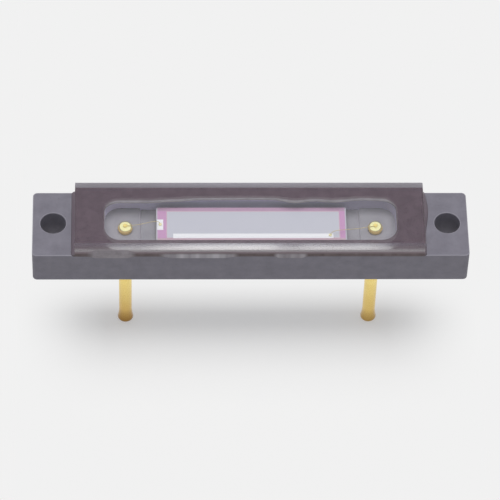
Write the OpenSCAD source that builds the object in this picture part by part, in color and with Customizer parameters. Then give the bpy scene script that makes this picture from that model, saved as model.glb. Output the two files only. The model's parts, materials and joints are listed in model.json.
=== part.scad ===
// Windowed photodiode on a long ceramic base, with two leads and a mounting hole at each end.
// Millimetres. +Z is up, X runs along the base, the front faces -Y.
// The origin is the centre of the base's underside, where the leads come out.

/* [Base] */
// Length of the ceramic base, along X
base_l = 15; // [13.5:0.1:22]
// Width of the base, along Y
base_w = 2.74; // [2.4:0.02:4.5]
// Height of the base
base_h = 1.38; // [1.16:0.02:2.2]
// Plan radius of the base's upright corners
corner_r = 0.15; // [0.05:0.01:0.35]

/* [Mounting holes] */
// Diameter of the mounting hole at each end
hole_d = 0.88; // [0.6:0.02:1]
// Distance from the end of the base to the axis of the hole
hole_inset = 0.71; // [0.64:0.01:0.9]
// Placement of the holes along Y, off the middle of the base
hole_y = 0.04; // [-0.1:0.01:0.1]

/* [Cavity] */
// Length of solid base at each end of the cavity
end_wall = 2.475; // [2.1:0.025:3.4]
// Thickness of the wall along each side of the cavity
side_wall = 0.43; // [0.3:0.01:0.6]
// Plan radius of the cavity's corners
cavity_r = 0.55; // [0.15:0.05:0.65]
// Depth of the two lands that carry the lead heads, from the top of the base
land_depth = 0.54; // [0.45:0.01:0.66]
// Length of each land, along X
land_l = 1.22; // [1.06:0.02:1.64]
// Depth of the die pocket below the lands
pocket_drop = 0.09; // [0.04:0.01:0.22]

/* [Leads] */
// Diameter of the leads
lead_d = 0.45; // [0.25:0.01:0.5]
// Length of the leads below the base
lead_l = 4; // [1.5:0.1:12]
// Distance from the end of the cavity to the axis of the lead
lead_inset = 0.71; // [0.46:0.01:0.82]
// How much the shank widens inside the base, on the radius
shank_taper = 0.01; // [0.005:0.001:0.015]
// How far the head stands out beyond the lead, on the radius
head_lip = 0.03; // [0.02:0.005:0.08]
// Thickness of the head
head_t = 0.16; // [0.14:0.01:0.2]
// Height of the head's domed top, which is flat under the bond wire
head_dome = 0.13; // [0.05:0.01:0.15]
// Height of the head's top above its land
head_h = 0.225; // [0.2:0.005:0.3]
// How far the tip flares out beyond the lead, on the radius
tip_flare = 0.05; // [0.01:0.005:0.15]
// Length of the flared tip
tip_l = 0.58; // [0.3:0.02:1]
// Edge radius at the end of the tip
tip_r = 0.08; // [0.02:0.01:0.15]

/* [Lead seals] */
// Wall of the sealing glass round each lead
seal_wall = 0.18; // [0.08:0.01:0.3]
// Thickness of base left between the sealing glass and the land
seal_web = 0.3; // [0.16:0.02:0.46]
// Clearance between a lead, its seal and the base, on the radius
fit_gap = 0.005; // [0.002:0.001:0.015]

/* [Die] */
// Gap between each end of the die and the end of its pocket
die_end_gap = 0.53; // [0.15:0.01:1.1]
// Gap between the die and each side of the cavity
die_side_gap = 0.22; // [0.08:0.01:0.38]
// Placement of the die along X, off the middle of the base
die_shift = 0.03; // [-0.1:0.01:0.1]
// Thickness of the die
die_h = 0.36; // [0.2:0.01:0.42]
// Thickness of the die-attach film
attach_h = 0.04; // [0.02:0.01:0.08]
// How far the die-attach film shows round the die
attach_rim = 0.03; // [0:0.01:0.08]
// Thickness of the coating and of each metal film on the die
film_h = 0.008; // [0.004:0.001:0.02]
// Oxide border at the left end of the die
border_left = 0.35; // [0.27:0.01:0.6]
// Oxide border at the right end of the die
border_right = 0.23; // [0.08:0.01:0.6]
// Oxide border along the back of the die
border_back = 0.16; // [0.04:0.01:0.22]
// Oxide border along the front of the die
border_front = 0.11; // [0.04:0.01:0.22]

/* [Contacts] */
// Width of the contact strip on the active area
strip_w = 0.15; // [0.12:0.01:0.3]
// Distance from the front edge of the active area to the strip
strip_front = 0.04; // [0.02:0.01:0.22]
// Distance from each end of the active area to the strip
strip_end = 0.23; // [0.04:0.01:0.45]
// Width of the contact pad on the left border, along X
pad_w = 0.21; // [0.15:0.01:0.23]
// Length of the contact pad, along Y
pad_l = 0.45; // [0.15:0.01:0.75]
// Distance from the left end of the die to the pad
pad_edge = 0.03; // [0.02:0.01:0.05]

/* [Bond wires] */
// Diameter of the bond wires
wire_d = 0.03; // [0.015:0.005:0.06]
// Diameter of the ball on the die
ball_d = 0.11; // [0.08:0.01:0.15]
// Height of the ball
ball_h = 0.04; // [0.025:0.005:0.06]
// Diameter of the foot on the lead head
foot_d = 0.15; // [0.09:0.01:0.22]
// Height of the foot
foot_h = 0.03; // [0.015:0.005:0.045]
// Clearance between the top of the loop and the window
loop_gap = 0.13; // [0.04:0.01:0.18]

/* [Window] */
// Length of base left bare at each end of the window
window_end = 1.5; // [1.34:0.01:1.95]
// Width of base left bare along each side of the window
window_side = 0.055; // [0.04:0.005:0.15]
// Thickness of the window
window_h = 0.51; // [0.22:0.01:0.9]
// Placement of the window along X, off the middle of the base
window_shift = -0.04; // [-0.08:0.01:0.08]

/* [Adhesive] */
// Thickness of the adhesive under the window
glue_h = 0.12; // [0.06:0.01:0.22]
// How far the adhesive stands out along the back of the window
glue_rim = 0.02; // [0.01:0.005:0.03]
// How far it stands out at the left end
glue_end = 0.125; // [0.02:0.005:0.14]
// How far it stands out at the right end, without the bulge
glue_right = 0.065; // [0.02:0.005:0.08]
// How far it stands out along the front, between its runs
glue_front = 0.03; // [0:0.005:0.035]
// How far its runs stand out at the front
glue_run = 0.05; // [0.04:0.005:0.055]
// How much further it bulges out at the right end
glue_bulge = 0.13; // [0:0.005:0.15]
// Width of that bulge, along Y
bulge_w = 2.4; // [1:0.1:3]
// Placement of that bulge along Y, off the middle of the base
bulge_y = 0.6; // [-0.75:0.01:0.75]
// How far the adhesive is squeezed out over the back of the cavity, at the most
glue_squeeze = 0.145; // [0:0.005:0.15]

/* [Hidden] */
$fn = 64;
// Overshoot of a cut beyond the face it opens
cut = 0.1;
// Spacing of the points along a curved adhesive edge
edge_step = 0.2;
// Points along a bond wire and round it
wire_steps = 22;
wire_sides = 8;
// Share of the span that the wire leans over as it leaves the ball, and at which it turns to its foot
loop_lean = 0.05;
loop_turn = 0.42;
// Height that a wire's curve reaches, as a share of the height of the point that pulls it up
loop_share = 0.43;
// Runs of adhesive along the front: middle and half length, as shares of half the window's length
front_runs = [[-0.79, 0.14], [-0.29, 0.24], [0.23, 0.1]];
// Squeezed-out edge along the back: places as shares of half the cavity's length, and shares of the squeeze
back_waves = [[-0.91, 0.97], [-0.70, 1], [-0.52, 0.67], [-0.36, 0.33], [0, 0.26], [0.15, 0.28],
              [0.31, 1], [0.44, 0.59], [0.56, 0.87], [0.78, 0.38], [0.91, 0.51]];

cavity_l = base_l - 2 * end_wall;
cavity_w = base_w - 2 * side_wall;
pocket_l = cavity_l - 2 * land_l;
land_z = base_h - land_depth;
pocket_z = land_z - pocket_drop;
hole_x = base_l / 2 - hole_inset;

lead_x = cavity_l / 2 - lead_inset;
lead_r = lead_d / 2;
shank_r = lead_r + shank_taper;
head_z = land_z + head_h;
head_r = lead_r + head_lip;
head_flat = foot_d / 2 + fit_gap;
seal_r = lead_r + seal_wall;
seal_h = land_z - seal_web;

die_l = pocket_l - 2 * die_end_gap;
die_w = cavity_w - 2 * die_side_gap;
die_left = die_shift - die_l / 2;
die_z = pocket_z + attach_h;
die_top = die_z + die_h;
active_l = die_l - border_left - border_right;
active_w = die_w - border_back - border_front;
active_left = die_left + border_left;
active_front = border_front - die_w / 2;
active_y = active_front + active_w / 2;
strip_l = active_l - 2 * strip_end;
strip_y = active_front + strip_front + strip_w / 2;
pad_x = die_left + pad_edge + pad_w / 2;

window_l = base_l - 2 * window_end;
window_w = base_w - 2 * window_side;
window_z = base_h + glue_h;
loop_z = window_z - loop_gap;

// Where each wire starts on the die and ends on its lead's head
cathode_ball = [pad_x, active_y, die_top + film_h];
cathode_foot = [-lead_x, 0, head_z];
anode_ball = [active_left + strip_end + strip_l - ball_d, strip_y, die_top + 2 * film_h];
anode_foot = [lead_x, 0, head_z];

// Rectangle with round corners, centred
module round_rect(l, w, r) {
    square([l - 2 * r, w], center = true);
    square([l, w - 2 * r], center = true);
    for (x = [-1, 1], y = [-1, 1])
        translate([x * (l / 2 - r), y * (w / 2 - r)])
            circle(r);
}

// Block centred on X and Y, standing on its own base
module block(l, w, h) {
    translate([-l / 2, -w / 2, 0])
        cube([l, w, h]);
}

// Hole for one lead, with the counterbore that its seal fills from below
module lead_hole() {
    translate([0, 0, -cut])
        cylinder(r = seal_r, h = seal_h + cut);
    cylinder(r1 = lead_r + fit_gap, r2 = shank_r + fit_gap, h = land_z);
    translate([0, 0, land_z - fit_gap])
        cylinder(r = shank_r + fit_gap, h = cut);
}

module ceramic_base() {
    color([0.42, 0.41, 0.45])
        difference() {
            linear_extrude(base_h)
                round_rect(base_l, base_w, corner_r);
            translate([0, 0, land_z])
                linear_extrude(land_depth + cut)
                    round_rect(cavity_l, cavity_w, cavity_r);
            translate([0, 0, pocket_z])
                block(pocket_l, cavity_w, pocket_drop + cut);
            for (side = [-1, 1]) {
                translate([side * hole_x, hole_y, -cut])
                    cylinder(d = hole_d, h = base_h + 2 * cut);
                translate([side * lead_x, 0, 0])
                    lead_hole();
            }
        }
}

// One lead, turned about its axis: trumpet tip, straight lead, tapered shank and round-edged head
module lead() {
    tip_end = lead_r + tip_flare;
    flare = tip_l - tip_r;
    dome_z = head_z - head_dome;
    rim = head_t - head_dome;
    color([0.85, 0.72, 0.42])
        rotate_extrude()
            polygon(concat(
                [[0, head_z], [0, -lead_l]],
                [for (a = [90 : -15 : 0]) [tip_end - tip_r * (1 - cos(a)), tip_r * (1 - sin(a)) - lead_l]],
                [for (i = [4 : -1 : 0])
                    let (t = i / 5)
                    [lead_r + tip_flare * t * t, tip_l - t * flare - lead_l]],
                [[lead_r, 0], [shank_r, land_z]],
                [for (a = [-90 : 15 : 0]) [shank_r + (head_r - shank_r) * cos(a), dome_z + rim * sin(a)]],
                [for (a = [15 : 15 : 90])
                    [head_flat + (head_r - head_flat) * cos(a), dome_z + head_dome * sin(a)]]));
}

module cathode_lead() {
    translate([-lead_x, 0, 0])
        lead();
}

module anode_lead() {
    translate([lead_x, 0, 0])
        lead();
}

// Ring of sealing glass that fills the counterbore round one lead
module lead_seal() {
    bore_top = lead_r + shank_taper * seal_h / land_z;
    color([0.30, 0.32, 0.36])
        rotate_extrude()
            polygon([[lead_r + fit_gap, 0], [seal_r - fit_gap, 0],
                     [seal_r - fit_gap, seal_h], [bore_top + fit_gap, seal_h]]);
}

module cathode_lead_seal() {
    translate([-lead_x, 0, 0])
        lead_seal();
}

module anode_lead_seal() {
    translate([lead_x, 0, 0])
        lead_seal();
}

module die_attach() {
    color([0.62, 0.60, 0.58])
        translate([die_shift, 0, pocket_z])
            linear_extrude(attach_h)
                round_rect(die_l + 2 * attach_rim, die_w + 2 * attach_rim, attach_rim + film_h);
}

module silicon_die() {
    color([0.76, 0.62, 0.74])
        translate([die_shift, 0, die_z])
            block(die_l, die_w, die_h);
}

module active_area() {
    color([0.77, 0.76, 0.81])
        translate([active_left, active_front, die_top])
            cube([active_l, active_w, film_h]);
}

module anode_strip() {
    color([0.93, 0.93, 0.95])
        translate([active_left + strip_end, strip_y - strip_w / 2, die_top + film_h])
            cube([strip_l, strip_w, film_h]);
}

module cathode_pad() {
    color([0.95, 0.93, 0.88])
        translate([pad_x, active_y, die_top])
            block(pad_w, pad_l, film_h);
}

// Point at share t of the curve that four points pull
function curve(p, t) =
    pow(1 - t, 3) * p[0] + 3 * pow(1 - t, 2) * t * p[1] + 3 * (1 - t) * pow(t, 2) * p[2] + pow(t, 3) * p[3];

// The four points of a loop that leaves the ball steeply and comes down flat on the foot
function loop_points(ball, foot) =
    let (start = ball + [0, 0, ball_h / 2],
         end = foot + [0, 0, (wire_d + fit_gap) / 2 + fit_gap],
         span = [foot[0] - ball[0], foot[1] - ball[1], 0],
         lift = (loop_z - wire_d / 2 - start[2]) / loop_share)
    [start, start + loop_lean * span + [0, 0, lift],
     [ball[0], ball[1], end[2]] + loop_turn * span, end];

// Wire swept along its loop, with a ball on the die and a foot on the lead's head
module bond_wire(ball, foot) {
    p = loop_points(ball, foot);
    path = [for (i = [0 : wire_steps]) curve(p, i / wire_steps)];
    across = [ball[1] - foot[1], foot[0] - ball[0], 0] / norm([ball[1] - foot[1], foot[0] - ball[0]]);
    rings = [for (i = [0 : wire_steps])
        let (along = path[min(i + 1, wire_steps)] - path[max(i - 1, 0)],
             up = cross(along, across) / norm(along))
        for (k = [0 : wire_sides - 1])
            path[i] + wire_d / 2 * (cos(360 * k / wire_sides) * across + sin(360 * k / wire_sides) * up)];
    sides = [for (i = [0 : wire_steps - 1], k = [0 : wire_sides - 1])
        let (a = i * wire_sides + k,
             b = i * wire_sides + (k + 1) % wire_sides)
        [a, b, b + wire_sides, a + wire_sides]];
    first = [for (k = [wire_sides - 1 : -1 : 0]) k];
    last = [for (k = [0 : wire_sides - 1]) wire_steps * wire_sides + k];
    color([0.85, 0.68, 0.30]) {
        polyhedron(rings, concat([first], sides, [last]));
        translate(ball)
            cylinder(d = ball_d, h = ball_h);
        translate(foot)
            cylinder(d = foot_d, h = foot_h);
    }
}

module cathode_bond_wire() {
    bond_wire(cathode_ball, cathode_foot);
}

module anode_bond_wire() {
    bond_wire(anode_ball, anode_foot);
}

// Values from a to b, both included, about edge_step apart
function along(a, b) =
    let (n = ceil(abs(b - a) / edge_step))
    [for (i = [0 : n]) a + (b - a) * i / n];

// Quarter of a round corner, as points
function quarter(centre, r, start) =
    [for (a = [15 : 15 : 75]) centre + r * [cos(start + a), sin(start + a)]];

// Soft step from 0 to 1, and soft hump of 1 at 0 that ends at -1 and 1
function soft(t) = t * t * (3 - 2 * t);
function hump(t) = soft(1 - min(1, abs(t)));
// Height at u of a soft curve through points
function wave(points, u) =
    let (after = [for (i = [1 : len(points) - 1]) if (u <= points[i][0]) i],
         i = len(after) > 0 ? after[0] : len(points) - 1,
         a = points[i - 1],
         b = points[i])
    a[1] + (b[1] - a[1]) * soft(max(0, min(1, (u - a[0]) / (b[0] - a[0]))));

// How far the adhesive stands out of the window's foot, along the front and at the right end
function front_edge(x) =
    let (u = 2 * x / window_l,
         out = max([for (run = front_runs) hump((u - run[0]) / run[1])]))
    glue_run * out + glue_front * (1 - out);
function right_edge(y) = glue_right + glue_bulge * hump(2 * (y - bulge_y) / bulge_w);
// Where the squeezed-out adhesive ends over the back of the cavity
function back_lip(x) = cavity_w / 2 - glue_squeeze * wave(back_waves, 2 * x / cavity_l);

// Outline of the adhesive round the window
function glue_outline() =
    let (x = window_l / 2, y = window_w / 2)
    concat([for (u = along(-x, x)) [u, -y - front_edge(u)]],
           [for (v = along(-y, y)) [x + right_edge(v), v]],
           [[x, y + glue_rim], [-x, y + glue_rim], [-x - glue_end, y], [-x - glue_end, -y]]);

// Outline of the opening that the adhesive leaves over the cavity
function glue_opening() =
    let (x = cavity_l / 2 - cavity_r,
         front = -cavity_w / 2)
    concat([[-x, front], [x, front]],
           quarter([x, front + cavity_r], cavity_r, 270),
           quarter([x, back_lip(x) - cavity_r], cavity_r, 0),
           [for (u = along(x, -x)) [u, back_lip(u)]],
           quarter([-x, back_lip(-x) - cavity_r], cavity_r, 90),
           quarter([-x, front + cavity_r], cavity_r, 180));

module window_adhesive() {
    color([0.37, 0.33, 0.36])
        translate([0, 0, base_h])
            linear_extrude(glue_h)
                difference() {
                    translate([window_shift, 0])
                        polygon(glue_outline());
                    polygon(glue_opening());
                }
}

module window_glass() {
    color([0.85, 0.88, 0.90, 0.35])
        translate([window_shift, 0, window_z])
            block(window_l, window_w, window_h);
}

ceramic_base();
cathode_lead();
anode_lead();
cathode_lead_seal();
anode_lead_seal();
die_attach();
silicon_die();
active_area();
anode_strip();
cathode_pad();
cathode_bond_wire();
anode_bond_wire();
window_adhesive();
window_glass();
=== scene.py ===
import json
import math

import bmesh
import bpy
from mathutils import Matrix, Vector
from mathutils.geometry import tessellate_polygon


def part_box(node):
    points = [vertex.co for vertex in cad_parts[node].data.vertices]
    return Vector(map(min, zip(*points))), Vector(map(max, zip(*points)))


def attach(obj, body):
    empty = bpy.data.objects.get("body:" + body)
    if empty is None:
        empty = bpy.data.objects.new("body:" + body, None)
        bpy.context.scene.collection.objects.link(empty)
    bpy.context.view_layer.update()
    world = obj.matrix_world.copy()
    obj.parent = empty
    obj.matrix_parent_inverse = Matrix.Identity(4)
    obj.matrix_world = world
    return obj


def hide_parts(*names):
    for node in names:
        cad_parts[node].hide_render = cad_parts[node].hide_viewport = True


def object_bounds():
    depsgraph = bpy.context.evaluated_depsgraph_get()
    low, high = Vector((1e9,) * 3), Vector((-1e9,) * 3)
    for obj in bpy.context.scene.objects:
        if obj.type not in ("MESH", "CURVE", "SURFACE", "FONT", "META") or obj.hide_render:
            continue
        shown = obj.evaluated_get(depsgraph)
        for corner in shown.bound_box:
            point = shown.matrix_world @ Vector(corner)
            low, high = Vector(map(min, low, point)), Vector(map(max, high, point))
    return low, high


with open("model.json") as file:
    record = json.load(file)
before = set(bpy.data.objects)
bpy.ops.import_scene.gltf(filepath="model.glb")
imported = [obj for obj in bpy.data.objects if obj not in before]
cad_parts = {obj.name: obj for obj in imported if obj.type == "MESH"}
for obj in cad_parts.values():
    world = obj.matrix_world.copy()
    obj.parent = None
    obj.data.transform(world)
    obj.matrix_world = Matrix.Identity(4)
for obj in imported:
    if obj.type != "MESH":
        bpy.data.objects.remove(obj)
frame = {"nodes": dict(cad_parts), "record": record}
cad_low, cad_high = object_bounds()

# Lengths below are in millimetres, and angles in degrees
MM = 0.001
CORNER_STEPS = 8
EDGE_STEPS = 4
LATHE_STEPS = 56
SHARP_ANGLE = 38

# Camera, at the photograph's angle
CAMERA_AZIMUTH = 2.99
CAMERA_ELEVATION = 52.75
CAMERA_ROLL = 2.33
CAMERA_DISTANCE = 126.8
CAMERA_LENS = 266.5
LOOK_AT = Vector((-0.04, -1.129, 1.38))

# Light: the lamp, the fill from all round, and the pale levels that the camera and shiny faces see
SUN_STRENGTH = 2.25
SUN_SPREAD = 48
SUN_TILT = 2
WORLD_FILL = 0.22
FILL_TINT = (0.92, 0.97, 1.08)
WORLD_PALE = 0.97
FLOOR_TONE = (0.958, 0.947, 0.922)
FLOOR_SHOWN = 0.88
FLOOR_GLINT = 0.92
FLOOR_SIZE = 3000

# How much of the part's shadow the floor shows, the places along X and Y between which it fades,
# and what is left of it at the back and the front
SHADOW_SHARE = 0.59
SHADOW_ENDS = (5.0, 8.2)
SHADOW_BACK = (0.15, 1.4)
SHADOW_BACK_REST = 0.15
SHADOW_FRONT = (-0.3, -2.6)
SHADOW_FRONT_REST = 0.38


def node_box(name):
    """Lowest and highest corner of a CAD node, in millimetres."""
    low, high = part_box(name)
    return low / MM, high / MM


def mount(name):
    """Position in millimetres and dimensions of one of the record's mounts."""
    found = next(m for m in frame["record"]["mounts"] if m["name"] == name)
    return Vector(found["pos_m"]) / MM, found["dims"]


# Sizes that the frame gives
base_low, base_high = node_box("ceramic_base")
window_low, window_high = node_box("window_glass")
die_low, die_high = node_box("silicon_die")
lead_low, lead_high = node_box("anode_lead")
seal_low, seal_high = node_box("anode_lead_seal")
hole_at, hole_size = mount("right_mounting_hole")
pin_at, pin_size = mount("anode_pin")
pocket_z = node_box("die_attach")[0].z
base_top = base_high.z
hole_r = hole_size["r_mm"]
lead_r = pin_size["r_mm"]
lead_x = pin_at.x
glue_h = window_low.z - base_top

# Base
BASE_CORNER = 0.15
BASE_EDGE = 0.035
CAVITY_L = 10.05
CAVITY_W = 1.88
CAVITY_R = 0.55
POCKET_L = 7.61
LAND_Z = 0.84
STEP_SLOPE = 0.04
BORE_GAP = 0.005
SHANK_R = 0.235

# Leads
HEAD_R = 0.255
HEAD_T = 0.16
HEAD_DOME = 0.13
HEAD_FLAT = 0.165
TIP_START = -3.42
TIP_EDGE = 0.08
# Heights between which the painted shade on the leads, as the reflection of the part's shadow, deepens
REFLECTED_SHADE_START = -1.7
REFLECTED_SHADE_END = -3.6
SEAL_DISH = 0.04

# Window
WINDOW_EDGE = 0.008
WINDOW_CORNER = 0.012
# How high resin is smeared up the front edge, and how dense it is at the foot
SMEAR = 0.24
SMEAR_SHARE = 0.85
# Haze of the rear edge, as places in shares of the window's length with shares of full haze
REAR_HAZE = [(0, 0.85), (0.19, 0.8), (0.25, 0.35), (0.33, 0.12), (0.39, 0), (0.48, 0), (0.56, 0.1),
             (0.595, 0.6), (0.645, 0.65), (0.675, 0.3), (0.76, 0.35), (0.86, 0.45), (0.9, 0.8), (1, 0.85)]

# Adhesive round the foot of the window: runs along the front as middle and half length, both in
# shares of half the window's length, and how far they climb it
GLUE_OVERLAP = 0.004
GLUE_FRONT = 0.058
GLUE_RUN = 0.063
FRONT_FALL = 0.045
GLUE_FALL = 0.13
GLUE_END = 0.125
END_CLIMB = 0.03
GLUE_RIGHT = 0.065
GLUE_BULGE = 0.13
BULGE_Y = 0.6
BULGE_W = 2.4
GLUE_BACK = 0.02
FRONT_RUNS = [(-0.79, 0.15, 0.12), (-0.292, 0.245, 0.02), (0.2325, 0.105, 0.0)]
RUN_FULLNESS = 3
GLUE_SECTION = 8
LONG_STEPS = 200
SHORT_STEPS = 40

# Adhesive along the cavity: its wavy edge at the back, as places in shares of half the cavity's
# length with shares of the squeeze, and how far short of the cavity it leaves the window
GLUE_SQUEEZE = 0.145
BACK_WAVES = [(-0.91, 0.97), (-0.70, 1.0), (-0.52, 0.67), (-0.36, 0.33), (0.0, 0.26), (0.15, 0.28),
              (0.31, 1.0), (0.44, 0.59), (0.56, 0.87), (0.78, 0.38), (0.91, 0.51)]
FRONT_SHORT = 0.25
END_SHORT = 0.05
BACK_SHORT = 0.09
BEAD_DROP = 0.012
BEAD_LEAST = 0.06
BEAD_SHARE = 0.35

# Bond wires
WIRE_D = 0.019
WIRE_STEPS = 60
WIRE_SIDES = 12
BALL_D = 0.11
BALL_H = 0.045
BALL_ROUND = 0.28
FOOT_D = 0.15
FOOT_H = 0.03
LOOP_GAP = 0.13
LOOP_LEAN = 0.05
LOOP_TURN = 0.42
LOOP_SHARE = 0.43


class Shell:
    """Vertices in millimetres and faces of one closed piece."""

    def __init__(self):
        self.verts = []
        self.faces = []

    def loop(self, points):
        """Adds a loop of points and returns their numbers."""
        first = len(self.verts)
        self.verts += [tuple(p) for p in points]
        return list(range(first, len(self.verts)))

    def bridge(self, a, b):
        """Faces between two closed loops with as many points."""
        for i in range(len(a)):
            j = (i + 1) % len(a)
            self.faces.append((a[i], a[j], b[j], b[i]))

    def chain(self, loops):
        """Faces between each loop and the next."""
        for a, b in zip(loops, loops[1:]):
            self.bridge(a, b)

    def cap(self, outer, *holes):
        """Flat face inside one loop, with other loops as holes in it."""
        loops = [outer, *holes]
        numbers = [i for loop in loops for i in loop]
        corners = [[Vector(self.verts[i]) for i in loop] for loop in loops]
        self.faces += [tuple(numbers[i] for i in tri) for tri in tessellate_polygon(corners)]

    def lathe(self, profile, x, y, steps=LATHE_STEPS):
        """Turns a profile of radius and height about an upright axis, closed at both ends."""
        loops = [self.loop(circle(r, z, x, y, steps)) for r, z in profile]
        self.chain(loops)
        self.cap(loops[0])
        self.cap(loops[-1])

    def piece(self, name, nodes, look):
        """The finished mesh object, riding on the part in place of its CAD nodes."""
        mesh = bpy.data.meshes.new(name)
        mesh.from_pydata([Vector(v) * MM for v in self.verts], [], self.faces)
        shape = bmesh.new()
        shape.from_mesh(mesh)
        bmesh.ops.recalc_face_normals(shape, faces=shape.faces)
        for face in shape.faces:
            face.smooth = True
        shape.to_mesh(mesh)
        shape.free()
        mesh.set_sharp_from_angle(angle=math.radians(SHARP_ANGLE))
        mesh.materials.append(look)
        made = bpy.data.objects.new(name, mesh)
        bpy.context.scene.collection.objects.link(made)
        normals = made.modifiers.new("even normals", "WEIGHTED_NORMAL")
        normals.keep_sharp = True
        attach(made, "root")
        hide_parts(*nodes)
        return made


def circle(r, z, x=0.0, y=0.0, steps=LATHE_STEPS):
    """Points round a level circle."""
    turns = [2 * math.pi * i / steps for i in range(steps)]
    return [(x + r * math.cos(a), y + r * math.sin(a), z) for a in turns]


def corner_arc(x, y, r, start):
    """Points and outward directions round a quarter of a circle."""
    turns = [math.radians(start + 90 * i / CORNER_STEPS) for i in range(CORNER_STEPS + 1)]
    ways = [Vector((math.cos(a), math.sin(a))) for a in turns]
    return [(Vector((x, y)) + r * way, way) for way in ways]


def round_rect(length, width, r, z, x=0.0):
    """Level loop round a rectangle with round corners."""
    across, deep = length / 2 - r, width / 2 - r
    corners = [(across, deep, 0), (-across, deep, 90), (-across, -deep, 180), (across, -deep, 270)]
    spots = [p for cx, cy, start in corners for p, _ in corner_arc(cx, cy, r, start)]
    return [(p.x + x, p.y, z) for p in spots]


def wall(shell, ring, low, high, edge, flare):
    """Upright wall from low to high. Its edges round off outwards (flare 1) or inwards (flare -1)."""
    turns = [math.pi / 2 * i / EDGE_STEPS for i in range(EDGE_STEPS + 1)]
    steps = [(edge * (1 - math.sin(a)), low + edge * (1 - math.cos(a))) for a in turns]
    steps += [(edge * (1 - math.cos(a)), high - edge * (1 - math.sin(a))) for a in turns]
    loops = [shell.loop(ring(flare * out, z)) for out, z in steps]
    shell.chain(loops)
    return loops[0], loops[-1]


def smooth_between(points, x):
    """Height at x of a soft curve through points, level before the first and after the last."""
    if x <= points[0][0]:
        return points[0][1]
    for (x0, y0), (x1, y1) in zip(points, points[1:]):
        if x <= x1:
            t = (x - x0) / (x1 - x0)
            return y0 + (y1 - y0) * t * t * (3 - 2 * t)
    return points[-1][1]


def hump(t):
    """Soft hump of 1 at 0 that ends at -1 and 1."""
    rise = 1 - min(1.0, abs(t))
    return rise * rise * (3 - 2 * rise)


def front_run(x):
    """Share from 0 to 1 of a run of adhesive along the front at x, and how far it climbs the window."""
    half = (window_high.x - window_low.x) / 2
    place = (x - window_low.x) / half - 1
    runs = []
    for middle, reach, climb in FRONT_RUNS:
        share = min(1.0, RUN_FULLNESS * hump((place - middle) / reach))
        runs.append((share, share * climb))
    return max(runs)


def srgb(red, green, blue):
    """Linear colour of an sRGB one, each channel from 0 to 255."""
    shares = [c / 255 for c in (red, green, blue)]
    return tuple(c / 12.92 if c <= 0.04045 else ((c + 0.055) / 1.055) ** 2.4 for c in shares)


class Look:
    """A material: one Principled shader, with textures laid out in millimetres."""

    def __init__(self, name, **settings):
        self.material = bpy.data.materials.new(name)
        self.material.use_nodes = True
        self.tree = self.material.node_tree
        self.shader = self.tree.nodes["Principled BSDF"]
        for key, value in settings.items():
            self.set(key.replace("_", " ").title().replace("Ior", "IOR"), value)

    def set(self, socket, value):
        """Sets one of the shader's sockets to a number, a colour or another node's output."""
        target = self.shader.inputs[socket]
        if isinstance(value, bpy.types.NodeSocket):
            self.tree.links.new(value, target)
        elif isinstance(value, tuple):
            target.default_value = (*value, 1.0)
        else:
            target.default_value = value

    def node(self, kind, inputs=(), **settings):
        """Adds a node, with values or outputs of other nodes put into its inputs by name or number."""
        made = self.tree.nodes.new(kind)
        for key, value in settings.items():
            setattr(made, key, value)
        for key, value in dict(inputs).items():
            if isinstance(value, bpy.types.NodeSocket):
                self.tree.links.new(value, made.inputs[key])
            else:
                made.inputs[key].default_value = value
        return made

    def place(self, stretch=(1, 1, 1)):
        """Position on the object in millimetres, times stretch along each axis."""
        spot = self.node("ShaderNodeTexCoord").outputs["Object"]
        size = [s / MM for s in stretch]
        return self.node("ShaderNodeVectorMath", {0: spot, 1: size}, operation="MULTIPLY").outputs[0]

    def noise(self, scale, detail=3.0, rough=0.55, stretch=(1, 1, 1), warp=0.0):
        """Soft noise from 0 to 1, with about scale features to the millimetre."""
        values = {"Vector": self.place(stretch), "Scale": scale, "Detail": detail,
                  "Roughness": rough, "Distortion": warp}
        return self.node("ShaderNodeTexNoise", values).outputs["Fac"]

    def cells(self, scale):
        """Distance to the nearest of many scattered points, about scale of them to the millimetre."""
        values = {"Vector": self.place(), "Scale": scale}
        return self.node("ShaderNodeTexVoronoi", values).outputs["Distance"]

    def math(self, operation, a, b=0.0):
        """Result of a sum on one or two values."""
        return self.node("ShaderNodeMath", {0: a, 1: b}, operation=operation).outputs[0]

    def spread(self, value, low, high, to_low=0.0, to_high=1.0):
        """Value carried from one range to another, and held at its ends."""
        inputs = {"Value": value, "From Min": low, "From Max": high, "To Min": to_low, "To Max": to_high}
        return self.node("ShaderNodeMapRange", inputs).outputs["Result"]

    def stops(self, value, points):
        """Height at a value from 0 to 1 on a line through points."""
        ramp = self.node("ShaderNodeValToRGB", {0: value})
        marks = ramp.color_ramp.elements
        for place, _ in points[1:-1]:
            marks.new(place)
        for mark, (_, height) in zip(marks, points):
            mark.color = (height, height, height, 1.0)
        return ramp.outputs[0]

    def mix(self, share, a, b):
        """Colour between a and b."""
        inputs = {}
        for key, value in ((6, a), (7, b)):
            inputs[key] = (*value, 1.0) if isinstance(value, tuple) else value
        inputs[0] = share
        return self.node("ShaderNodeMix", inputs, data_type="RGBA").outputs[2]

    def facing_up(self):
        """1 on level faces and 0 on upright ones."""
        return self.spread(self.math("ABSOLUTE", self.part_of_normal("Z")), 0.5, 0.8)

    def part_of_normal(self, name):
        """Share of the surface's direction along one axis."""
        normal = self.node("ShaderNodeNewGeometry").outputs["Normal"]
        return self.node("ShaderNodeSeparateXYZ", {0: normal}).outputs[name]

    def axis(self, name):
        """Position along one axis, in millimetres."""
        return self.node("ShaderNodeSeparateXYZ", {0: self.place()}).outputs[name]

    def off_middle(self, name, low, high):
        """Distance along one axis from the middle between two places, in millimetres."""
        return self.math("ABSOLUTE", self.math("SUBTRACT", self.axis(name), (low + high) / 2))

    def bump(self, height, depth, strength=1.0):
        """Bumps of a depth in millimetres on the whole surface."""
        inputs = {"Height": height, "Distance": depth * MM, "Strength": strength}
        self.set("Normal", self.node("ShaderNodeBump", inputs).outputs["Normal"])


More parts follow.
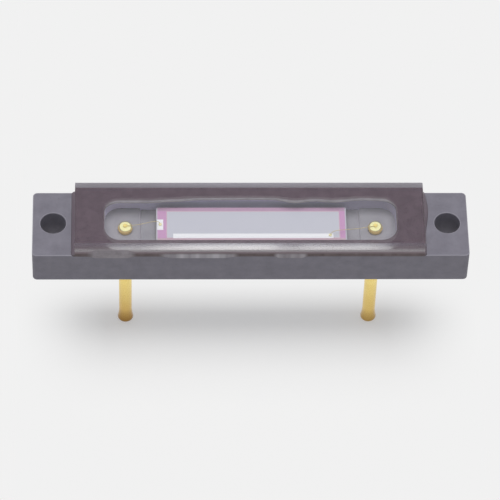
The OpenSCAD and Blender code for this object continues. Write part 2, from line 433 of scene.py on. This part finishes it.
def ceramic_look():
    """Matt fired ceramic: fine grain, faint clouds, a few dark specks, a painted highlight on its rounded
    edges and a pale cavity floor, with painted light on the cavity's walls and steps and painted shade on
    its walls towards the right.
    """
    look = Look("fired ceramic", specular_ior_level=0.35)
    clouds = look.spread(look.noise(2.2, 4.0, 0.6), 0.3, 0.7)
    grain = look.noise(35.0, 3.0, 0.7)
    tone = look.mix(clouds, srgb(118, 115, 124), srgb(132, 129, 138))
    tone = look.mix(look.spread(grain, 0.3, 0.75, 0.0, 0.22), tone, srgb(149, 146, 154))
    specks = look.spread(look.cells(6.0), 0.05, 0.12, 0.35, 0.0)
    tone = look.mix(specks, tone, srgb(84, 80, 90))
    # Painted highlight: the rounded strips of the edges, found by how they face, are made paler
    upright = look.math("ABSOLUTE", look.part_of_normal("Z"))
    edge = look.math("MULTIPLY", look.spread(upright, 0.1, 0.35), look.spread(upright, 0.995, 0.94))
    tone = look.mix(look.math("MULTIPLY", edge, 0.6), tone, srgb(168, 165, 174))
    along = look.spread(look.math("ABSOLUTE", look.axis("X")), CAVITY_L / 2 + 0.04, CAVITY_L / 2 + 0.01)
    deep = look.spread(look.math("ABSOLUTE", look.axis("Y")), CAVITY_W / 2 + 0.04, CAVITY_W / 2 + 0.01)
    below = look.spread(look.axis("Z"), base_top, base_top - 0.04)
    inside = look.math("MULTIPLY", look.math("MULTIPLY", along, deep), below)
    floor = look.mix(clouds, srgb(143, 140, 148), srgb(155, 152, 159))
    # Painted light and shade in the cavity: its upright walls are far paler than its floor to lift the shade
    # they lie in, the step faces of the die pocket are paler to soften their shade line, and the walls
    # towards the right are darker as painted shade
    back = look.spread(look.math("ABSOLUTE", look.axis("Y")), CAVITY_W / 2 - 0.06, CAVITY_W / 2 - 0.03)
    ends = look.spread(look.math("ABSOLUTE", look.axis("X")), POCKET_L / 2 + 0.05, POCKET_L / 2 + 0.1)
    right = look.spread(look.axis("X"), POCKET_L / 2 - 0.8, POCKET_L / 2 - 0.2)
    sides = look.mix(right, srgb(236, 228, 254), srgb(208, 201, 224))
    walls = look.mix(look.math("MAXIMUM", back, ends), srgb(188, 184, 192), sides)
    pale = look.mix(look.facing_up(), walls, floor)
    look.set("Base Color", look.mix(inside, tone, pale))
    look.set("Roughness", look.spread(grain, 0.3, 0.7, 0.62, 0.8))
    look.bump(look.math("ADD", grain, look.math("MULTIPLY", clouds, 0.6)), 0.004, 0.5)
    return look.material


def lead_look(name):
    """Gold plating on a drawn lead, with painted shade darkening it towards the tip as the reflection of the
    part's shadow and darkest at the tip, and a head painted paler as a highlight, with painted shade in a
    deeper golden rim.
    """
    look = Look(name)
    drawn = look.noise(24.0, 2.0, 0.5, (1, 1, 0.05))
    patches = look.noise(1.6, 2.0, 0.5)
    tone = look.mix(look.spread(patches, 0.35, 0.75), srgb(250, 226, 144), srgb(242, 214, 130))
    # Painted shade: darker gold down the lead, as the reflection of the part's shadow on the floor, less on
    # the right lead
    left = look.spread(look.axis("X"), lead_x, -lead_x)
    reflected_shade = look.spread(look.axis("Z"), REFLECTED_SHADE_START, REFLECTED_SHADE_END)
    reflected_shade = look.math("MULTIPLY", reflected_shade, look.spread(left, 0.0, 1.0, 0.7, 1.0))
    tone = look.mix(reflected_shade, tone, srgb(200, 164, 94))
    # Painted shade at the tip: the rounded end turns dark brown gold, less on the right lead
    tip = look.spread(look.axis("Z"), TIP_START + 0.1, lead_low.z + 0.05, 0.0, 0.85)
    tip = look.math("MULTIPLY", tip, look.spread(left, 0.0, 1.0, 0.8, 1.0))
    tone = look.mix(tip, tone, srgb(122, 86, 44))
    # Painted highlight and shade on the head: it is paler all over, and its rim, chosen by how it faces, is
    # a deeper and less metallic gold
    head = look.spread(look.axis("Z"), LAND_Z, LAND_Z + 0.03)
    rim = look.math("MULTIPLY", head, look.spread(look.part_of_normal("Z"), 0.7, 0.5))
    tone = look.mix(head, tone, srgb(255, 249, 186))
    look.set("Base Color", look.mix(rim, tone, srgb(255, 216, 124)))
    look.set("Metallic", look.spread(rim, 0.0, 1.0, 1.0, 0.2))
    satin = look.spread(drawn, 0.25, 0.75, 0.235, 0.285)
    look.set("Roughness", look.math("SUBTRACT", satin, look.math("MULTIPLY", head, 0.1)))
    look.bump(drawn, 0.0006, 0.3)
    return look.material


def wire_look():
    """Fine drawn gold wire, with painted highlights making its ball on the die and its foot on the lead
    paler and less metallic.
    """
    look = Look("drawn gold wire")
    drawn = look.noise(24.0, 2.0, 0.5, (0.1, 1, 1))
    tone = look.mix(drawn, srgb(234, 215, 158), srgb(222, 202, 144))
    # Painted highlights: the foot on the lead's head and the ball on the die are paler and less metallic
    # than the wire
    from_lead = look.math("SUBTRACT", look.math("ABSOLUTE", look.axis("X")), lead_x)
    foot = look.spread(look.math("ABSOLUTE", from_lead), FOOT_D, FOOT_D / 2)
    half = (die_high.x - die_low.x) / 2
    on_die = look.spread(look.off_middle("X", die_low.x, die_high.x), half, half - 0.01)
    ball_top = die_high.z + BALL_H + 0.02
    ball = look.math("MULTIPLY", on_die, look.spread(look.axis("Z"), ball_top + 0.01, ball_top))
    tone = look.mix(ball, tone, srgb(255, 246, 190))
    look.set("Base Color", look.mix(foot, tone, srgb(255, 230, 132)))
    look.set("Metallic", look.spread(look.math("MAXIMUM", foot, ball), 0.0, 1.0, 0.6, 0.2))
    look.set("Roughness", look.spread(drawn, 0.25, 0.75, 0.36, 0.44))
    return look.material


def sealing_glass_look():
    """Dark sealing glass with tiny bubbles."""
    look = Look("sealing glass", specular_ior_level=0.5)
    bubbles = look.cells(12.0)
    swirl = look.noise(4.0, 3.0, 0.5, warp=0.8)
    look.set("Base Color", look.mix(swirl, srgb(70, 74, 84), srgb(92, 96, 106)))
    look.set("Roughness", look.spread(swirl, 0.3, 0.7, 0.08, 0.2))
    look.bump(look.spread(bubbles, 0.08, 0.2), 0.0045, 0.6)
    return look.material


def die_attach_look():
    """Matt filled resin."""
    look = Look("die attach resin")
    filler = look.noise(29.0, 3.0, 0.7)
    look.set("Base Color", look.mix(filler, srgb(120, 116, 118), srgb(168, 164, 166)))
    look.set("Roughness", look.spread(filler, 0.3, 0.7, 0.45, 0.7))
    look.bump(filler, 0.006, 0.6)
    return look.material


def die_look():
    """Silicon: a pink oxide border on top, a bare sawn street at each end and sawn sides."""
    look = Look("oxide on silicon", specular_ior_level=0.3)
    street = 0.045
    reach = (die_high.x - die_low.x) / 2 - street
    bare = look.spread(look.off_middle("X", die_low.x, die_high.x), reach, reach + 0.008)
    shade = look.noise(0.9, 2.0, 0.5)
    oxide = look.mix(shade, srgb(203, 145, 194), srgb(195, 152, 186))
    front = look.spread(look.axis("Y"), die_low.y + 0.13, die_low.y + 0.1)
    oxide = look.mix(front, oxide, srgb(192, 164, 176))
    back = look.spread(look.axis("Y"), die_high.y - 0.17, die_high.y - 0.14)
    oxide = look.mix(back, oxide, srgb(184, 148, 175))
    top = look.mix(bare, oxide, srgb(190, 187, 197))
    sawn = look.noise(24.0, 3.0, 0.6, (0.1, 0.1, 1))
    sides = look.mix(sawn, srgb(98, 96, 104), srgb(138, 136, 144))
    up = look.facing_up()
    look.set("Base Color", look.mix(up, sides, top))
    look.set("Roughness", look.spread(up, 0.0, 1.0, 0.5, 0.35))
    look.bump(sawn, 0.0008, 0.3)
    return look.material


def active_look():
    """Light-sensitive area under its coating: a faint drift of colour and a thin salmon outline."""
    look = Look("coated silicon", specular_ior_level=0.3)
    low, high = node_box("active_area")
    line = 0.025
    edges = []
    for name, a, b in (("X", low.x, high.x), ("Y", low.y, high.y)):
        reach = (b - a) / 2 - line
        edges.append(look.spread(look.off_middle(name, a, b), reach, reach + line / 3))
    outline = look.math("MAXIMUM", *edges)
    drift = look.noise(0.45, 2.0, 0.5, (1, 2.5, 1))
    tone = look.mix(drift, srgb(194, 194, 205), srgb(201, 200, 209))
    tone = look.mix(outline, tone, srgb(208, 178, 189))
    strip_low, strip_high = node_box("anode_strip")
    beside = (strip_high.x - strip_low.x) / 2
    along = look.spread(look.off_middle("X", strip_low.x, strip_high.x), beside + 0.005, beside - 0.005)
    rim = look.math("MULTIPLY", along, look.spread(look.axis("Y"), strip_low.y + 0.01, strip_low.y))
    look.set("Base Color", look.mix(rim, tone, srgb(243, 242, 245)))
    look.set("Roughness", look.spread(look.noise(19.0), 0.3, 0.7, 0.3, 0.38))
    return look.material


def contact_look():
    """Bright evaporated metal with a fine grain."""
    look = Look("contact metal", metallic=0.15)
    grain = look.noise(80.0, 3.0, 0.7)
    look.set("Base Color", look.mix(grain, srgb(243, 242, 245), srgb(250, 249, 252)))
    look.set("Roughness", look.spread(grain, 0.3, 0.7, 0.3, 0.4))
    look.bump(grain, 0.0008, 0.4)
    return look.material


def adhesive_look():
    """Cured resin: brown under the window and greyer in its runs, with painted shade dark along the front
    and at the foot of its end fillets, and a paler grey on its bead along the cavity that is partly its own
    tone and partly a painted sheen.
    """
    look = Look("cured resin", specular_ior_level=0.5)
    mottle = look.spread(look.noise(3.5, 4.0, 0.6), 0.3, 0.7)
    brown = look.mix(mottle, srgb(73, 57, 68), srgb(91, 74, 85))
    lumps = look.spread(look.noise(2.0, 2.0, 0.5, (1, 0, 0)), 0.4, 0.6)
    grey = look.mix(lumps, srgb(140, 135, 141), srgb(180, 175, 181))
    # Painted shade: the resin along the front is dark, as if shaded under the window, and lighter up towards
    # the window
    dark = look.mix(mottle, srgb(76, 62, 63), srgb(103, 89, 91))
    dark = look.mix(look.spread(look.axis("Z"), base_top + 0.06, window_low.z), dark, srgb(124, 111, 116))
    # Paler grey of the free bead along the back of the cavity: partly the resin's own tone, partly a painted
    # sheen
    bead_tone_and_sheen = look.mix(mottle, srgb(112, 106, 112), srgb(136, 130, 136))

    outside = look.spread(look.axis("Y"), window_low.y + 0.02, window_low.y - 0.005)
    shares = look.math("DIVIDE", look.math("SUBTRACT", look.axis("X"), (window_low.x + window_high.x) / 2),
                       (window_high.x - window_low.x) / 2)
    low = look.spread(look.axis("Z"), base_top + 0.1, base_top + 0.03)
    front = dark
    for middle, reach, climb in FRONT_RUNS:
        away = look.math("ABSOLUTE", look.math("SUBTRACT", shares, middle))
        run = look.spread(away, reach * 0.95, reach * 0.7)
        if climb > glue_h / 2:
            front = look.mix(run, front, look.mix(mottle, srgb(122, 115, 120), srgb(152, 145, 150)))
        else:
            thin = look.math("MULTIPLY", run, min(1.0, reach / 0.15))
            front = look.mix(look.math("MULTIPLY", thin, low), front, grey)

    lip = window_low.z - BEAD_DROP
    free = look.spread(look.axis("Z"), lip, lip - 0.008)
    behind = look.spread(look.axis("Y"), 0.0, CAVITY_W / 2 - 0.2)
    bead = look.math("MULTIPLY", free, behind)
    half = (window_high.x - window_low.x) / 2
    ends = look.spread(look.off_middle("X", window_low.x, window_high.x), half - 0.005, half + 0.005)
    # Painted shade: the end fillets darken towards their foot on the base
    foot = look.spread(look.axis("Z"), base_top + 0.025, base_top + 0.005)
    fillet_with_foot_shade = look.mix(foot, srgb(106, 95, 103), srgb(64, 50, 54))
    tone = look.mix(outside, look.mix(bead, brown, bead_tone_and_sheen), front)
    look.set("Base Color", look.mix(ends, tone, fillet_with_foot_shade))
    rough = look.math("SUBTRACT", 0.7, look.math("MULTIPLY", outside, 0.4))
    look.set("Roughness", look.math("SUBTRACT", rough, look.math("MULTIPLY", bead, 0.2)))
    look.bump(look.noise(6.5, 3.0, 0.5), 0.005, 0.3)
    return look.material


def window_look():
    """Clear plate with polished faces and ground edges, which lets the light through to what is under it."""
    look = Look("window glass", ior=1.5)
    ground = look.spread(look.math("ABSOLUTE", look.part_of_normal("Z")), 0.99, 0.9)
    rear = look.spread(look.axis("Y"), window_high.y - 0.05, window_high.y - 0.03)
    rear = look.math("MULTIPLY", ground, rear)
    # Painted reflection: the upper part of the ground edges is tinted blue
    blue_edge_sheen = look.spread(look.axis("Z"), window_low.z + 0.26, window_low.z + 0.4)
    edges = look.mix(blue_edge_sheen, (1.0, 0.985, 0.975), (0.925, 0.93, 1.0))
    tone = look.mix(ground, (0.985, 0.99, 0.99), look.mix(rear, edges, (1.0, 0.97, 1.0)))
    front = look.spread(look.axis("Y"), window_low.y + 0.05, window_low.y + 0.03)
    front = look.math("MULTIPLY", ground, front)
    smear = look.spread(look.axis("Z"), window_low.z + SMEAR, window_low.z, 0.0, SMEAR_SHARE)
    smear = look.math("MULTIPLY", front, smear)
    beside = look.spread(look.math("ABSOLUTE", look.axis("X")), CAVITY_L / 2 - 0.3, CAVITY_L / 2 + 0.1)
    film = look.mix(beside, srgb(139, 126, 134), srgb(121, 107, 116))
    look.set("Base Color", look.mix(smear, tone, film))
    slant = look.node("ShaderNodeLayerWeight", {"Blend": 0.5}).outputs["Facing"]
    share = look.spread(look.axis("X"), window_low.x, window_high.x)
    uneven = look.math("MULTIPLY", look.stops(share, REAR_HAZE), 0.9)
    milky = look.math("MULTIPLY", rear, look.math("MAXIMUM", uneven, look.spread(slant, 0.3, 0.5, 0.0, 0.9)))
    grit = look.spread(look.noise(53.0, 2.0, 0.6), 0.3, 0.7, 0.26, 0.36)
    look.set("Roughness", look.math("MULTIPLY", ground, grit))
    haze = look.math("MAXIMUM", look.math("MULTIPLY", ground, 0.06), look.math("MAXIMUM", smear, milky))
    look.set("Transmission Weight", look.math("SUBTRACT", 1.0, haze))
    path = look.node("ShaderNodeLightPath").outputs
    through = look.math("MAXIMUM", path["Is Shadow Ray"], path["Is Diffuse Ray"])
    clear = look.node("ShaderNodeBsdfTransparent").outputs[0]
    shown = look.node("ShaderNodeMixShader", {0: through, 1: look.shader.outputs[0], 2: clear}).outputs[0]
    look.tree.links.new(shown, look.tree.nodes["Material Output"].inputs["Surface"])
    return look.material


def make_base():
    """Ceramic base with rounded edges, mounting holes, cavity, die pocket and lead holes."""
    shell = Shell()
    length, width = base_high.x - base_low.x, base_high.y - base_low.y

    def outline(grow, z):
        return round_rect(length + 2 * grow, width + 2 * grow, BASE_CORNER + grow, z)

    bottom, top = wall(shell, outline, base_low.z, base_top, BASE_EDGE, -1)
    bottom_holes, top_holes = [], []
    for side in (-1, 1):
        def bore(grow, z):
            return circle(hole_r + grow, z, side * hole_at.x, hole_at.y)

        low, high = wall(shell, bore, base_low.z, base_top, BASE_EDGE, 1)
        bottom_holes.append(low)
        top_holes.append(high)

    rim = shell.loop(cavity_loop(base_top))
    floor = shell.loop(cavity_loop(LAND_Z))
    shell.bridge(rim, floor)
    bores = {side: lead_bore(shell, side) for side in (-1, 1)}
    bottom_holes += [low for _, low in bores.values()]
    arc = 2 * (CORNER_STEPS + 1)
    left = floor[CORNER_STEPS + 2: CORNER_STEPS + 4 + arc]
    right = floor[CORNER_STEPS + 4 + arc:] + floor[:CORNER_STEPS + 2]
    shell.cap(left, bores[-1][0])
    shell.cap(right, bores[1][0])
    step = [right[-1], left[0], left[-1], right[0]]
    corners = [shell.verts[i] for i in step]
    pocket = shell.loop([(x - math.copysign(STEP_SLOPE, x), y, pocket_z) for x, y, _ in corners])
    shell.bridge(step, pocket)
    shell.cap(pocket)
    shell.cap(top, rim, *top_holes)
    shell.cap(bottom, *bottom_holes)
    return shell.piece("ceramic_body", ["ceramic_base"], ceramic_look())


def cavity_loop(z):
    """Loop round the cavity, with points where the die pocket meets its long walls."""
    points = round_rect(CAVITY_L, CAVITY_W, CAVITY_R, z)
    quarter = CORNER_STEPS + 1
    half, deep = POCKET_L / 2, CAVITY_W / 2
    back = [(half, deep, z), (-half, deep, z)]
    front = [(-half, -deep, z), (half, -deep, z)]
    return points[:quarter] + back + points[quarter:3 * quarter] + front + points[3 * quarter:]


def lead_bore(shell, side):
    """Hole for one lead and the counterbore for its seal. Returns the loops at its top and bottom."""
    x = side * lead_x
    r = SHANK_R + BORE_GAP
    seal_r = (seal_high.x - seal_low.x) / 2 + BORE_GAP
    steps = [(r, LAND_Z), (r, seal_high.z), (seal_r, seal_high.z), (seal_r, base_low.z)]
    loops = [shell.loop(circle(radius, z, x)) for radius, z in steps]
    shell.chain(loops)
    return loops[0], loops[-1]


def make_lead(name, node, side):
    """One lead: flat head with a domed edge, tapered shank, straight lead and a trumpet tip."""
    tip_r = (lead_high.x - lead_low.x) / 2
    turns = [math.pi / 2 * i / CORNER_STEPS for i in range(CORNER_STEPS + 1)]
    dome_z = lead_high.z - HEAD_DOME
    rim = HEAD_T - HEAD_DOME
    bulge, lip = HEAD_R - HEAD_FLAT, HEAD_R - SHANK_R
    head = [(HEAD_FLAT + bulge * math.sin(a), dome_z + HEAD_DOME * math.cos(a)) for a in turns]
    head += [(SHANK_R + lip * math.cos(a), dome_z - rim * math.sin(a)) for a in turns[1:]]
    flare_end = lead_low.z + TIP_EDGE
    flare = []
    for i in range(CORNER_STEPS + 1):
        t = i / CORNER_STEPS
        flare.append((lead_r + (tip_r - lead_r) * t ** 2, TIP_START + (flare_end - TIP_START) * t))
    edge = []
    for a in turns[1:]:
        edge.append((tip_r - TIP_EDGE * (1 - math.cos(a)), flare_end - TIP_EDGE * math.sin(a)))
    profile = head + [(SHANK_R, LAND_Z), (lead_r, base_low.z)] + flare + edge
    shell = Shell()
    shell.lathe(profile, side * lead_x, 0.0)
    return shell.piece(name, [node], lead_look(name + " gold"))


def make_seal(name, node, side, look):
    """Ring of sealing glass whose lower face dishes in between the lead and the base."""
    inner = lead_r + BORE_GAP
    outer = (seal_high.x - seal_low.x) / 2
    dish = []
    for i in range(CORNER_STEPS + 1):
        t = i / CORNER_STEPS
        dish.append((inner + (outer - inner) * t, SEAL_DISH * math.sin(math.pi * t)))
    ring = dish + [(outer, seal_high.z), (SHANK_R + BORE_GAP, seal_high.z)]
    shell = Shell()
    loops = [shell.loop(circle(r, z, side * lead_x)) for r, z in ring]
    shell.chain(loops + loops[:1])
    return shell.piece(name, [node], look)


def make_window():
    """Glass plate with finely broken edges."""
    shell = Shell()
    length, width = window_high.x - window_low.x, window_high.y - window_low.y
    middle = (window_high.x + window_low.x) / 2

    def outline(grow, z):
        return round_rect(length + 2 * grow, width + 2 * grow, WINDOW_CORNER + grow, z, middle)

    foot = shell.loop(outline(0.0, window_low.z))
    turns = [math.pi / 2 * i / EDGE_STEPS for i in range(EDGE_STEPS + 1)]
    loops = [foot]
    for a in turns:
        z = window_high.z - WINDOW_EDGE * (1 - math.sin(a))
        loops.append(shell.loop(outline(WINDOW_EDGE * (math.cos(a) - 1), z)))
    shell.chain(loops)
    shell.cap(loops[0])
    shell.cap(loops[-1])
    return shell.piece("window_plate", ["window_glass"], window_look())


def frame_loop(length, width, r, x):
    """Points and outward directions round a rectangle, spread along its sides and corners."""
    across, deep = length / 2 - r, width / 2 - r
    corners = [(across, -deep, -90), (across, deep, 0), (-across, deep, 90), (-across, -deep, 180)]
    arcs = [corner_arc(cx + x, cy, r, start) for cx, cy, start in corners]
    points = []
    for arc, following, steps in zip(arcs, arcs[1:] + arcs[:1], (SHORT_STEPS, LONG_STEPS) * 2):
        begin, way = arc[-1]
        end = following[0][0]
        points += arc
        points += [(begin.lerp(end, i / steps), way) for i in range(1, steps)]
    return points


def outer_section(spot, way):
    """Section of the adhesive's outer face at one point of the window's outline, from its foot up."""
    run, rise = front_run(spot.x) if way.y < 0 else (0.0, 0.0)
    long_reach = GLUE_RUN * run + GLUE_FRONT * (1 - run) if way.y < 0 else GLUE_BACK
    right_reach = GLUE_RIGHT + GLUE_BULGE * hump(2 * (spot.y - BULGE_Y) / BULGE_W)
    end_reach = right_reach if way.x > 0 else GLUE_END
    reach = long_reach * way.y ** 2 + end_reach * way.x ** 2
    drop = GLUE_FALL * run + FRONT_FALL * (1 - run) if way.y < 0 else 0.0
    fall = drop * way.y ** 2
    climb = rise * way.y ** 2 + END_CLIMB * way.x ** 2
    section = []
    for i in range(GLUE_SECTION + 1):
        u = i / GLUE_SECTION
        z = base_top - fall * (1 - u) ** 2 + (glue_h + GLUE_OVERLAP + climb) * u
        section.append((spot + reach * math.cos(math.pi / 2 * u) * way, z))
    return section + [(spot - BORE_GAP * way, window_low.z + GLUE_OVERLAP)]


def inner_section(spot, way):
    """Section from where the adhesive leaves the window to the foot of its bead along the cavity."""
    back, front = max(0.0, way.y), max(0.0, -way.y)
    squeeze = GLUE_SQUEEZE * back * smooth_between(BACK_WAVES, 2 * spot.x / CAVITY_L)
    edge = spot - Vector((0.0, squeeze))
    short = FRONT_SHORT * front ** 2 + END_SHORT * way.x ** 2 + BACK_SHORT * back ** 2
    bead = BEAD_LEAST * back + BEAD_SHARE * squeeze
    top = window_low.z - BEAD_DROP
    section = [(edge + short * way, window_low.z + GLUE_OVERLAP)]
    for i in range(GLUE_SECTION + 1):
        v = i / GLUE_SECTION
        swell = bead * math.sin(math.pi * v ** 0.8)
        section.append((edge - swell * way, top - (top - base_top) * v))
    return section


def make_adhesive():
    """Ring of adhesive between the base and the window, with its runs, its bulge and its wavy bead."""
    shell = Shell()
    length, width = window_high.x - window_low.x, window_high.y - window_low.y
    middle = (window_high.x + window_low.x) / 2
    outer = frame_loop(length, width, WINDOW_CORNER, middle)
    inner = frame_loop(CAVITY_L, CAVITY_W, CAVITY_R, 0.0)
    sections = [outer_section(*o) + inner_section(*i) for o, i in zip(outer, inner)]
    loops = [shell.loop([(p.x, p.y, z) for p, z in row]) for row in zip(*sections)]
    shell.chain(loops + loops[:1])
    return shell.piece("adhesive_ring", ["window_adhesive"], adhesive_look())


def wire_path(ball, foot):
    """Points of a loop that leaves the ball steeply and comes down flat on the foot."""
    start = ball + Vector((0, 0, BALL_H / 2))
    end = foot + Vector((0, 0, WIRE_D / 2))
    span = Vector((foot.x - ball.x, foot.y - ball.y, 0))
    lift = (window_low.z - LOOP_GAP - WIRE_D / 2 - start.z) / LOOP_SHARE
    rise = start + LOOP_LEAN * span + Vector((0, 0, lift))
    turn = Vector((ball.x, ball.y, end.z)) + LOOP_TURN * span
    path = []
    for i in range(WIRE_STEPS + 1):
        t = i / WIRE_STEPS
        s = 1 - t
        path.append(s ** 3 * start + 3 * s * s * t * rise + 3 * s * t * t * turn + t ** 3 * end)
    return path


def make_wire(name, node, ball, foot, look):
    """Bond wire with its ball on the die and its pressed foot on the lead's head."""
    shell = Shell()
    path = wire_path(ball, foot)
    across = Vector((ball.y - foot.y, foot.x - ball.x, 0)).normalized()
    loops = []
    for i, spot in enumerate(path):
        along = path[min(i + 1, WIRE_STEPS)] - path[max(i - 1, 0)]
        up = along.cross(across).normalized()
        turns = [2 * math.pi * k / WIRE_SIDES for k in range(WIRE_SIDES)]
        ring = [spot + WIRE_D / 2 * (math.cos(a) * across + math.sin(a) * up) for a in turns]
        loops.append(shell.loop(ring))
    shell.chain(loops)
    shell.cap(loops[0])
    shell.cap(loops[-1])
    for spot, size, height in ((ball, BALL_D, BALL_H), (foot, FOOT_D, FOOT_H)):
        turns = [math.pi * i / CORNER_STEPS for i in range(CORNER_STEPS + 1)]
        bulge = []
        for a in turns:
            r = size / 2 * (1 - BALL_ROUND + BALL_ROUND * math.sin(a))
            bulge.append((r, spot.z + height * (1 - math.cos(a)) / 2))
        shell.lathe(bulge, spot.x, spot.y, WIRE_SIDES * 2)
    return shell.piece(name, [node], look)


def dress(node, look):
    """Gives a CAD node that keeps its own shape a finished material."""
    for slot in frame["nodes"][node].material_slots:
        slot.material = look


def make_die():
    """Materials of the die, of the films on it and of what holds it."""
    contact = contact_look()
    dress("die_attach", die_attach_look())
    dress("silicon_die", die_look())
    dress("active_area", active_look())
    dress("anode_strip", contact)
    dress("cathode_pad", contact)


def make_wires():
    """Both bond wires, from the contacts on the die to the lead heads."""
    look = wire_look()
    pad_low, pad_high = node_box("cathode_pad")
    pad = Vector(((pad_low.x + pad_high.x) / 2, (pad_low.y + pad_high.y) / 2, pad_high.z))
    strip_low, strip_high = node_box("anode_strip")
    strip = Vector((strip_high.x - BALL_D, (strip_low.y + strip_high.y) / 2, strip_high.z))
    head = lead_high.z
    make_wire("cathode_wire", "cathode_bond_wire", pad, Vector((-lead_x, 0, head)), look)
    make_wire("anode_wire", "anode_bond_wire", strip, Vector((lead_x, 0, head)), look)


def make_camera():
    """Camera at the photograph's place."""
    az, el, roll = (math.radians(a) for a in (CAMERA_AZIMUTH, CAMERA_ELEVATION, CAMERA_ROLL))
    ahead = Vector((math.sin(az) * math.cos(el), math.cos(az) * math.cos(el), -math.sin(el)))
    right = Vector((math.cos(az), -math.sin(az), 0))
    up = right.cross(ahead)
    turned = math.cos(roll) * right + math.sin(roll) * up
    upright = math.cos(roll) * up - math.sin(roll) * right
    data = bpy.data.cameras.new("camera")
    data.lens = CAMERA_LENS
    data.clip_start = CAMERA_DISTANCE * MM / 10
    camera = bpy.data.objects.new("camera", data)
    camera.matrix_world = Matrix((turned, upright, -ahead)).transposed().to_4x4()
    camera.location = (LOOK_AT - CAMERA_DISTANCE * ahead) * MM
    bpy.context.scene.collection.objects.link(camera)
    bpy.context.scene.camera = camera


def make_floor():
    """Pale matt floor at the foot of the leads. It looks evenly pale apart from the part's shadow, which
    shows only near the part: further out along X and Y its even glow is painted over that shadow.
    """
    look = Look("pale floor", roughness=0.9, specular_ior_level=0.0)
    dust = look.noise(0.02, 2.0)
    look.set("Base Color", look.mix(dust, FLOOR_TONE, tuple(0.99 * part for part in FLOOR_TONE)))
    # Painted light: beyond these places the floor's glow covers the part's real shadow
    ends = look.spread(look.math("ABSOLUTE", look.axis("X")), *SHADOW_ENDS, SHADOW_SHARE, 0.0)
    back = look.spread(look.axis("Y"), *SHADOW_BACK, 1.0, SHADOW_BACK_REST)
    front = look.spread(look.axis("Y"), *SHADOW_FRONT, 1.0, SHADOW_FRONT_REST)
    shadow = look.math("MULTIPLY", ends, look.math("MULTIPLY", back, front))
    path = look.node("ShaderNodeLightPath").outputs
    seen = look.math("MAXIMUM", path["Is Camera Ray"], path["Is Transmission Ray"])
    seen = look.math("MULTIPLY", seen, look.math("SUBTRACT", 1.0, shadow))
    share = look.math("MAXIMUM", seen, look.math("MULTIPLY", path["Is Glossy Ray"], FLOOR_GLINT))
    glow = look.node("ShaderNodeEmission", {"Strength": FLOOR_SHOWN}).outputs[0]
    shown = look.node("ShaderNodeMixShader", {0: share, 1: look.shader.outputs[0], 2: glow}).outputs[0]
    look.tree.links.new(shown, look.tree.nodes["Material Output"].inputs["Surface"])
    half = FLOOR_SIZE * MM / 2
    z = cad_low.z
    mesh = bpy.data.meshes.new("floor")
    corners = [(-half, -half, z), (half, -half, z), (half, half, z), (-half, half, z)]
    mesh.from_pydata(corners, [], [(0, 1, 2, 3)])
    mesh.materials.append(look.material)
    floor = bpy.data.objects.new("floor", mesh)
    bpy.context.scene.collection.objects.link(floor)


def make_light():
    """A broad soft light overhead and an even pale surround, which is all that shows in shiny faces."""
    data = bpy.data.lights.new("overhead", "SUN")
    data.energy = SUN_STRENGTH
    data.angle = math.radians(SUN_SPREAD)
    sun = bpy.data.objects.new("overhead", data)
    sun.rotation_euler = (math.radians(-SUN_TILT), 0, 0)
    sun.visible_glossy = False
    sun.visible_transmission = False
    bpy.context.scene.collection.objects.link(sun)

    world = bpy.data.worlds.new("studio")
    world.use_nodes = True
    tree = world.node_tree
    path = tree.nodes.new("ShaderNodeLightPath").outputs
    fill = tree.nodes.new("ShaderNodeRGB").outputs[0]
    fill.default_value = (*[WORLD_FILL * part for part in FILL_TINT], 1)
    shade = fill
    levels = {"Is Glossy Ray": WORLD_PALE, "Is Transmission Ray": WORLD_PALE, "Is Camera Ray": FLOOR_SHOWN}
    for ray, level in levels.items():
        layer = tree.nodes.new("ShaderNodeMix")
        layer.data_type = "RGBA"
        layer.inputs[7].default_value = (level, level, level, 1)
        tree.links.new(path[ray], layer.inputs[0])
        tree.links.new(shade, layer.inputs[6])
        shade = layer.outputs[2]
    tree.links.new(shade, tree.nodes["Background"].inputs["Color"])
    bpy.context.scene.world = world


bpy.context.scene.view_settings.view_transform = "Standard"
make_camera()
make_base()
seal_look = sealing_glass_look()
for side, pole in ((-1, "cathode"), (1, "anode")):
    make_lead(pole + "_pin", pole + "_lead", side)
    make_seal(pole + "_seal", pole + "_lead_seal", side, seal_look)
make_die()
make_wires()
make_adhesive()
make_window()
make_floor()
make_light()
